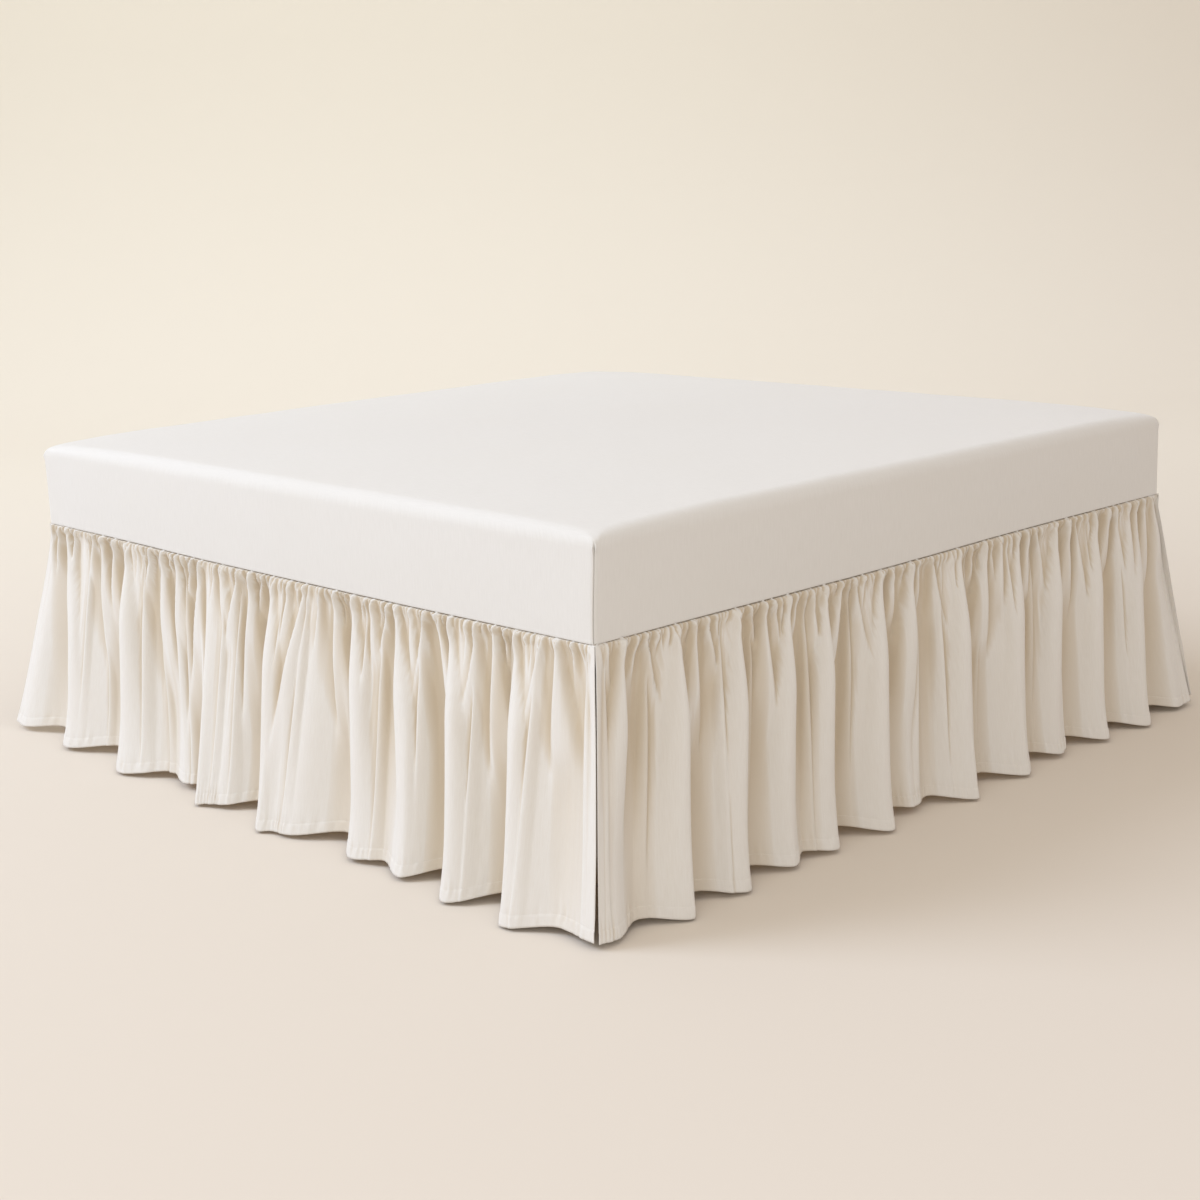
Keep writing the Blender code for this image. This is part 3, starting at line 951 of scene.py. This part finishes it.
def coverOutline(inset):
    # the points round one level, and each point's way out and its distance from a corner's seam
    radius = cover["cornerRadius"] + cover["cornerGrowth"] * min(inset, cover["edgeRadius"])
    halfWidth, halfLength = bedWidth / 2 - inset, bedLength / 2 - inset
    radius = min(radius, halfWidth * cover["roundest"])
    points, ways, fromSeam = [], [], []
    spread = np.linspace(-1, 1, cover["cornerPoints"])
    closeness = cover["cornerCloseness"]  # points lie closer at the seam
    turns = math.pi / 4 * (1 + np.sign(spread) * np.abs(spread) ** closeness)
    signs = ((1, 1), (-1, 1), (-1, -1), (1, -1))
    middles = [Vector((x * (halfWidth - radius), y * (halfLength - radius))) for x, y in signs]
    for quarter, (middle, nextMiddle) in enumerate(zip(middles, middles[1:] + middles[:1])):
        for turn in turns:
            angle = turn + quarter * math.pi / 2
            way = Vector((math.cos(angle), math.sin(angle)))
            points.append(middle + way * radius)
            ways.append(way)
            fromSeam.append((turn - math.pi / 4) * radius)
        span = (nextMiddle - middle).length
        for step in range(1, cover["sidePoints"]):
            even = step / cover["sidePoints"]
            share = float(smooth(even)) * (1 - cover["evenness"]) + even * cover["evenness"]
            points.append(middle.lerp(nextMiddle, share) + way * radius)
            ways.append(way)
            fromSeam.append(min(share, 1 - share) * span + radius)
    return points, ways, fromSeam


def edgeSag(point):
    # how far the cover's lower edge hangs at this place round it
    halfWidth, halfLength = bedWidth / 2, bedLength / 2
    nearest = min(
        (halfWidth + point.x, "left", point.y + halfLength),
        (halfLength + point.y, "foot", point.x + halfWidth),
        (halfWidth - point.x, "right", point.y + halfLength),
        (halfLength - point.y, "back", point.x + halfWidth),
    )
    return float(seamSag(nearest[1], nearest[2]))


def noiseWaves(spot, waves):
    return sum(height * noise.noise(spot * closeness) for height, closeness in waves)


def bell(distance, width):
    return math.exp(-((distance / width) ** 2))


def seamRelief(fromSeam, height):
    # how far the cover stands out beside a corner's seam
    above = height - cornerSeam["top"]
    mouth = bell(above + cornerSeam["mouthDown"], cornerSeam["mouthSize"])
    closed = 1.0 if above < 0 else bell(above, cornerSeam["fade"])
    dip = bell(fromSeam, cornerSeam["width"] + cornerSeam["mouthWidth"] * mouth)
    out = -(cornerSeam["dip"] + cornerSeam["mouthDip"] * mouth) * closed * dip
    lipPlace = cornerSeam["lipPlace"] + cornerSeam["mouthLipPlace"] * mouth
    lip = bell(abs(fromSeam) - lipPlace, cornerSeam["lipWidth"])
    out += (cornerSeam["lip"] + cornerSeam["mouthLip"] * mouth) * closed * lip
    # short puckers that fan out from the top of the seam
    acrossTurns, upTurns = cornerSeam["puckerTurns"]
    acrossReach, upReach = cornerSeam["puckerReach"]
    pucker = math.sin(fromSeam * acrossTurns + height * upTurns) * math.exp(-abs(fromSeam) / acrossReach)
    return out + cornerSeam["pucker"] * pucker * bell(above, upReach)


def coverShape(point, way, fromSeam, height, topness, hanging=0.0):
    # the soft form over the plain rounded block: crown, sagging corners, swelling sides, corner seams
    shareX, shareY = abs(point.x) / (bedWidth / 2), abs(point.y) / (bedLength / 2)
    spot = Vector((point.x, point.y, height))
    rise = (1 - shareX ** cover["crownPower"]) * (1 - shareY ** cover["crownPower"])
    crown = cover["crown"] * rise * topness
    sag = cover["cornerSag"] * (shareX * shareY) ** cover["sagPower"] * max(topness, cover["sideSag"])
    edgeWave = noiseWaves(spot, cover["topWaves"]) * topness
    up = (height - seamHeight) / (cover["top"] - seamHeight)
    swell = cover["bandSwell"] * math.sin(math.pi * min(up / cover["swellTop"], 1)) * (1 - topness)
    swell *= 1 - math.exp(-abs(fromSeam) / cover["swellReach"])
    side = swell + noiseWaves(spot, cover["sideWaves"]) * (1 - topness)
    if abs(fromSeam) < cornerSeam["reach"] and topness < cornerSeam["highest"]:
        side += seamRelief(fromSeam, height)
    fromCorner = math.hypot(point.x + bedWidth / 2, point.y + bedLength / 2)
    lean = cover["cornerLean"] * float(smooth(up)) * bell(fromCorner, cover["leanReach"])
    leanX, leanY = openCorner["across"]
    hang = hanging * edgeSag(point) * (1 - float(smooth(up / cover["sagTop"])))
    return Vector((
        point.x + way.x * side + leanX * lean,
        point.y + way.y * side + leanY * lean,
        height + crown - sag + edgeWave - hang,
    ))


def fillRings(mesh, starts, around):
    # fills the closed rings of points that begin at starts, and turns every face outwards
    shape = bmesh.new()
    shape.from_mesh(mesh)
    shape.verts.ensure_lookup_table()
    for start in starts:
        shape.faces.new([shape.verts[start + step] for step in range(around)])
    bmesh.ops.recalc_face_normals(shape, faces=shape.faces)
    return shape


def makeCover():
    rows = []
    for inset, height, topness in coverLevels():
        rows.append([
            tuple(coverShape(point, way, away, height, topness, hanging=1.0) + bedCentre)
            for point, way, away in zip(*coverOutline(inset))
        ])
    points = np.array(rows)
    flat = flatPlaces(points)
    mesh = gridMesh("fittedCover", points[::-1], flat[::-1], closed=True)
    shape = fillRings(mesh, (0,), points.shape[1])
    # the top is mapped from above, and the sides keep the map that runs round them
    flatMap = shape.loops.layers.uv["flatCloth"]
    for face in shape.faces:
        face.smooth = True
        if face.normal.z > cover["topFacing"]:
            for loop in face.loops:
                loop[flatMap].uv = loop.vert.co.xy
    shape.to_mesh(mesh)
    shape.free()
    piece = addPiece("fittedCover", mesh, coverCloth)
    thicken(piece, cover["thickness"])
    return piece


coverPiece = makeCover()
print("cover fitted,", len(coverPiece.data.polygons), "faces")


# the bed that the cloth hangs on
mattress = {
    "room": 0.003,  # what the cover leaves all round
    "footRadius": 0.02,
    "footRows": 5,
    "hemRows": 4,  # the cover's lowest levels, where the mattress has its own rounded foot
}


def makeMattress():
    # the cover's own form, a little smaller all round
    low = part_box("mattress")[0][2]
    room = mattress["room"]
    levels = []
    for turn in np.linspace(0, math.pi / 2, mattress["footRows"]):
        inset = room + mattress["footRadius"] * (1 - math.sin(turn))
        height = low + mattress["footRadius"] * (1 - math.cos(turn))
        levels.append((inset, height, 0.0))
    for inset, height, topness in coverLevels()[mattress["hemRows"]:]:
        levels.append((inset + room, height - room, topness))
    rows = []
    for inset, height, topness in levels:
        rows.append([
            tuple(coverShape(point, way, 1.0, height, topness) + bedCentre)
            for point, way, _ in zip(*coverOutline(inset))
        ])
    points = np.array(rows)
    mesh = gridMesh("stuffedMattress", points, flatPlaces(points), closed=True)
    around = points.shape[1]
    shape = fillRings(mesh, (0, len(mesh.vertices) - around), around)
    for face in shape.faces:
        face.smooth = len(face.verts) == 4
    shape.to_mesh(mesh)
    shape.free()
    return addPiece("stuffedMattress", mesh, tickingCloth)


base = {"edge": 0.009, "edgeSteps": 4, "topFacing": 0.6}


def makeBase():
    # a cloth-covered box with soft edges
    low, high = (Vector(corner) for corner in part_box("bed_base"))
    size, middle = high - low, (high + low) / 2
    shape = bmesh.new()
    bmesh.ops.create_cube(shape, size=1.0)
    for vert in shape.verts:
        vert.co = Vector(a * b for a, b in zip(vert.co, size)) + middle
    bmesh.ops.bevel(
        shape, geom=shape.edges[:], offset=base["edge"], segments=base["edgeSteps"], profile=0.5,
        affect="EDGES",
    )
    flatMap = shape.loops.layers.uv.new("flatCloth")
    for face in shape.faces:
        face.smooth = True
        for loop in face.loops:
            spot = loop.vert.co
            if abs(face.normal.z) > base["topFacing"]:
                loop[flatMap].uv = spot.xy
            elif abs(face.normal.x) > abs(face.normal.y):
                loop[flatMap].uv = (spot.y, spot.z)
            else:
                loop[flatMap].uv = (spot.x, spot.z)
    mesh = bpy.data.meshes.new("coveredBase")
    shape.to_mesh(mesh)
    shape.free()
    return addPiece("coveredBase", mesh, baseCloth)


leg = {
    "topRadius": 0.03,
    "footRadius": 0.021,
    "footBevel": 0.0025,
    "swell": 0.0035,
    "swellAt": 0.35,  # up the leg
    "neck": 0.0025,
    "neckDown": 0.04,  # from the top
    "collarDown": 0.03,
    "rim": 0.001,
    "segments": 40,
    "sharpAngle": 35,
}


def makeLeg(node):
    # a turned leg, thicker at its collar, on a flat foot
    low, high = (Vector(corner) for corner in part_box(node))
    middle = (low + high) / 2
    height = high.z - low.z
    profile = [
        (leg["footRadius"] - leg["footBevel"], 0.0),
        (leg["footRadius"], leg["footBevel"]),
        (leg["footRadius"] + leg["swell"], height * leg["swellAt"]),
        (leg["topRadius"] - leg["neck"], height - leg["neckDown"]),
        (leg["topRadius"], height - leg["collarDown"]),
        (leg["topRadius"], height - leg["rim"]),
        (leg["topRadius"] - leg["rim"], height),
    ]
    shape = bmesh.new()
    rings = []
    for radius, up in profile:
        ring = []
        for step in range(leg["segments"]):
            angle = 2 * math.pi * step / leg["segments"]
            x, y = middle.x + radius * math.cos(angle), middle.y + radius * math.sin(angle)
            ring.append(shape.verts.new((x, y, low.z + up)))
        rings.append(ring)
    for lower, upper in zip(rings, rings[1:]):
        for step in range(leg["segments"]):
            after = (step + 1) % leg["segments"]
            shape.faces.new((lower[step], lower[after], upper[after], upper[step]))
    shape.faces.new(rings[0])
    shape.faces.new(rings[-1])
    bmesh.ops.recalc_face_normals(shape, faces=shape.faces)
    mesh = bpy.data.meshes.new(node + "Turned")
    shape.to_mesh(mesh)
    shape.free()
    mesh.shade_smooth()
    mesh.set_sharp_from_angle(angle=math.radians(leg["sharpAngle"]))
    return addPiece(node + "Turned", mesh, legWood)


mattressPiece = makeMattress()
basePiece = makeBase()
legNodes = [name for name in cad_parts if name.startswith("leg_")]
legPieces = [makeLeg(name) for name in legNodes]
print("bed made, legs:", len(legPieces))


# what each piece stands for
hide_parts("cover")
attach(coverPiece, "root")
panelNodes = ("skirt_left", "skirt_foot", "skirt_right")
for piece, stitches, seam, node in zip(panelPieces, stitchPieces, seamPieces, panelNodes):
    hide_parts(node)
    for part in (piece, stitches, seam):
        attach(part, "root")
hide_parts("mattress")
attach(mattressPiece, "root")
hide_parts("bed_base")
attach(basePiece, "root")
for piece, node in zip(legPieces, legNodes):
    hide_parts(node)
    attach(piece, "root")


# the room, its lights and the camera
studio = {
    "wallDistance": 8.0,
    "wallHeight": 7.0,
    "coveRadius": 2.5,
    "coveSteps": 12,
    "halfWidth": 14.0,
    "front": 10.0,
    "paint": {"Base Color": (0.71, 0.645, 0.563, 1.0), "Roughness": 0.9, "Specular IOR Level": 0.1},
    "roomColour": (1.0, 0.915, 0.865),
    "roomLight": 0.75,
}
# suns come from a direction, in degrees round from +X and up; lamps have a place and an aim
suns = {
    "window": {"towards": (130, 40), "soft": 0.5, "power": 0.9, "colour": (0.68, 0.78, 1.0)},
}
lamps = {
    "leftWindow": {"place": (-4.5, 3.5, 3.9), "aim": (0.0, 0.0, 0.5), "size": (3.0, 3.0),
                   "power": 140, "colour": (0.71, 0.83, 1.0)},
    "ceiling": {"place": (-2.0, 0.0, 5.0), "aim": (-2.0, 0.0, 0.0), "size": (6.0, 6.0),
                "power": 36, "colour": (0.93, 1.0, 0.88)},
    "front": {"place": (-4.9, -4.8, 2.4), "aim": (0.0, 0.0, 0.4), "size": (4.0, 3.0),
              "power": 68, "colour": (0.92, 0.98, 1.0)},
    "wall": {"place": (0.6, 4.2, 5.7), "aim": (3.4, 7.2, 2.8), "size": (12.0, 0.8),
             "power": 240, "colour": (0.82, 0.98, 1.0)},
    "underBed": {"place": (0.0, 0.03, 0.1), "aim": (0.0, 0.03, 0.0), "size": (1.5, 1.6),
                 "power": 4.4, "colour": (1.0, 0.83, 0.6)},
}
view = {
    "place": (-3.2659, -3.491, 1.3812),  # from the bed's middle
    "turn": 0.753,
    "down": 0.2234,
    "roll": -0.0361,
    "lens": 57.65,
    "sensor": 36.0,
}


def makeStage():
    # a pale floor that curves up into a wall far behind the bed
    profile = [(-studio["front"], 0.0)]
    flatEnd = studio["wallDistance"] - studio["coveRadius"]
    for step in range(studio["coveSteps"] + 1):
        turn = math.pi / 2 * step / studio["coveSteps"]
        deep = flatEnd + studio["coveRadius"] * math.sin(turn)
        profile.append((deep, studio["coveRadius"] * (1 - math.cos(turn))))
    profile.append((studio["wallDistance"], studio["wallHeight"]))
    facing = Matrix.Rotation(-view["turn"], 4, "Z")
    points, faces = [], []
    for deep, up in profile:
        for side in (-1, 1):
            points.append(facing @ Vector((side * studio["halfWidth"], deep, up)))
    for step in range(len(profile) - 1):
        faces.append((2 * step, 2 * step + 1, 2 * step + 3, 2 * step + 2))
    mesh = bpy.data.meshes.new("studioFloor")
    mesh.from_pydata(points, [], faces)
    mesh.shade_smooth()
    floor = addPiece("studioFloor", mesh, newMaterial("studioPaint", studio["paint"])[0])
    floor.visible_shadow = False


def addLight(name, kind, power, colour):
    light = bpy.data.lights.new(name, kind)
    light.energy = power
    light.color = colour
    lamp = bpy.data.objects.new(name, light)
    bpy.context.scene.collection.objects.link(lamp)
    return lamp


def makeSun(name, towards, soft, power, colour):
    lamp = addLight(name, "SUN", power, colour)
    lamp.data.angle = soft
    around, up = (math.radians(turn) for turn in towards)
    way = Vector((math.cos(around) * math.cos(up), math.sin(around) * math.cos(up), math.sin(up)))
    lamp.rotation_euler = way.to_track_quat("Z", "Y").to_euler()


def makeLamp(name, place, aim, size, power, colour):
    lamp = addLight(name, "AREA", power, colour)
    lamp.data.shape = "RECTANGLE"
    lamp.data.size, lamp.data.size_y = size
    lamp.location = place
    lamp.rotation_euler = (Vector(aim) - Vector(place)).to_track_quat("-Z", "Y").to_euler()
    lamp.visible_camera = False


def makeCamera():
    data = bpy.data.cameras.new("camera")
    data.lens = view["lens"]
    data.sensor_width = view["sensor"]
    camera = bpy.data.objects.new("camera", data)
    turn = Matrix.Rotation(-view["turn"], 4, "Z") @ Matrix.Rotation(math.pi / 2 - view["down"], 4, "X")
    place = Vector(view["place"]) + bedCentre
    camera.matrix_world = Matrix.Translation(place) @ turn @ Matrix.Rotation(view["roll"], 4, "Z")
    bpy.context.scene.collection.objects.link(camera)
    bpy.context.scene.camera = camera


makeStage()
makeCamera()
for name, sun in suns.items():
    makeSun(name, **sun)
for name, lamp in lamps.items():
    makeLamp(name, **lamp)
world = bpy.data.worlds.new("softRoom")
bpy.context.scene.world = world
world.use_nodes = True
background = world.node_tree.nodes["Background"]
background.inputs["Color"].default_value = (*studio["roomColour"], 1.0)
background.inputs["Strength"].default_value = studio["roomLight"]
bpy.context.scene.view_settings.view_transform = "Standard"
print("studio lit")
